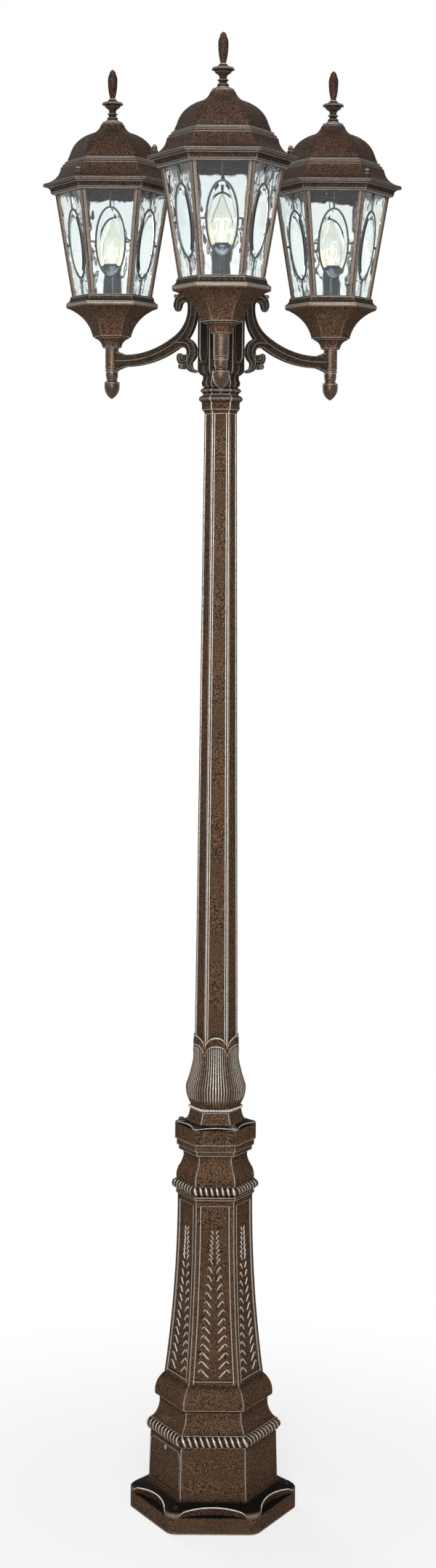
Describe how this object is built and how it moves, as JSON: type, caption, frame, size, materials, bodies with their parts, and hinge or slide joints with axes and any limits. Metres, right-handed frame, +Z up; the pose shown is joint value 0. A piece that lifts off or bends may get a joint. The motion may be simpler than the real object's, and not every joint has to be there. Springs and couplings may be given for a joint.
{
  "type": "multi-light post light",
  "caption": "Cast garden post light: hexagonal pedestal and tapered column, scrolled arms around a hub, and hexagonal glazed lanterns with lift-off roofs.",
  "frame": {"origin": "on the ground, at the centre of the anchor bolt circle under the column's axis", "axes": "+Z up along the column; -Y towards the front lantern; +X to the right seen from the front"},
  "size_m": [0.6016, 0.5211, 2.438],
  "materials": {
    "bronze": "hammered antique bronze enamel on cast metal",
    "roof_bronze": "hammered antique bronze enamel, redder",
    "fastener": "bronzed steel",
    "pane_glass": "rippled clear glass",
    "oval_glass": "bevelled clear glass",
    "came": "dull metal came",
    "holder": "dark lampholder sleeve",
    "lamp": "frosted warm lamp glass"
  },
  "bodies": {
    "post": {"pedestal": "bronze", "column": "bronze", "collar_bolts": "fastener", "hub": "bronze", "hub_cap": "bronze", "acorns": "bronze", "stems": "fastener", "lampholders": "holder", "arm_front": "bronze", "cup_front": "roof_bronze", "cage_front": "bronze", "panes_front": "pane_glass", "ovals_front": "oval_glass", "cames_front": "came", "arm_right": "bronze", "cup_right": "roof_bronze", "cage_right": "bronze", "panes_right": "pane_glass", "ovals_right": "oval_glass", "cames_right": "came", "arm_left": "bronze", "cup_left": "roof_bronze", "cage_left": "bronze", "panes_left": "pane_glass", "ovals_left": "oval_glass", "cames_left": "came"},
    "door": {"access_door": "bronze", "door_screw": "fastener"},
    "front_roof": {"roof_front": "roof_bronze", "roof_finial_front": "bronze", "roof_nuts_front": "fastener"},
    "front_lamp": {"lamp_front": "lamp"},
    "right_roof": {"roof_right": "roof_bronze", "roof_finial_right": "bronze", "roof_nuts_right": "fastener"},
    "right_lamp": {"lamp_right": "lamp"},
    "left_roof": {"roof_left": "roof_bronze", "roof_finial_left": "bronze", "roof_nuts_left": "fastener"},
    "left_lamp": {"lamp_left": "lamp"}
  },
  "joints": [
    {"name": "door_out", "type": "slide", "parent": "post", "child": "door", "axis": [-0.8657, -0.4998, 0.0265], "range_m": [0, 0.06]},
    {"name": "front_roof_lift", "type": "slide", "parent": "post", "child": "front_roof", "axis": [0, 0, 1], "range_m": [0, 0.15]},
    {"name": "front_lamp_turn", "type": "hinge", "parent": "post", "child": "front_lamp", "pos_m": [0, -0.2127, 2.12], "axis": [0, 0, 1], "range_deg": [0, 1080]},
    {"name": "right_roof_lift", "type": "slide", "parent": "post", "child": "right_roof", "axis": [0, 0, 1], "range_m": [0, 0.15]},
    {"name": "right_lamp_turn", "type": "hinge", "parent": "post", "child": "right_lamp", "pos_m": [0.1842, 0.10635, 2.12], "axis": [0, 0, 1], "range_deg": [0, 1080]},
    {"name": "left_roof_lift", "type": "slide", "parent": "post", "child": "left_roof", "axis": [0, 0, 1], "range_m": [0, 0.15]},
    {"name": "left_lamp_turn", "type": "hinge", "parent": "post", "child": "left_lamp", "pos_m": [-0.1842, 0.10635, 2.12], "axis": [0, 0, 1], "range_deg": [0, 1080]}
  ]
}
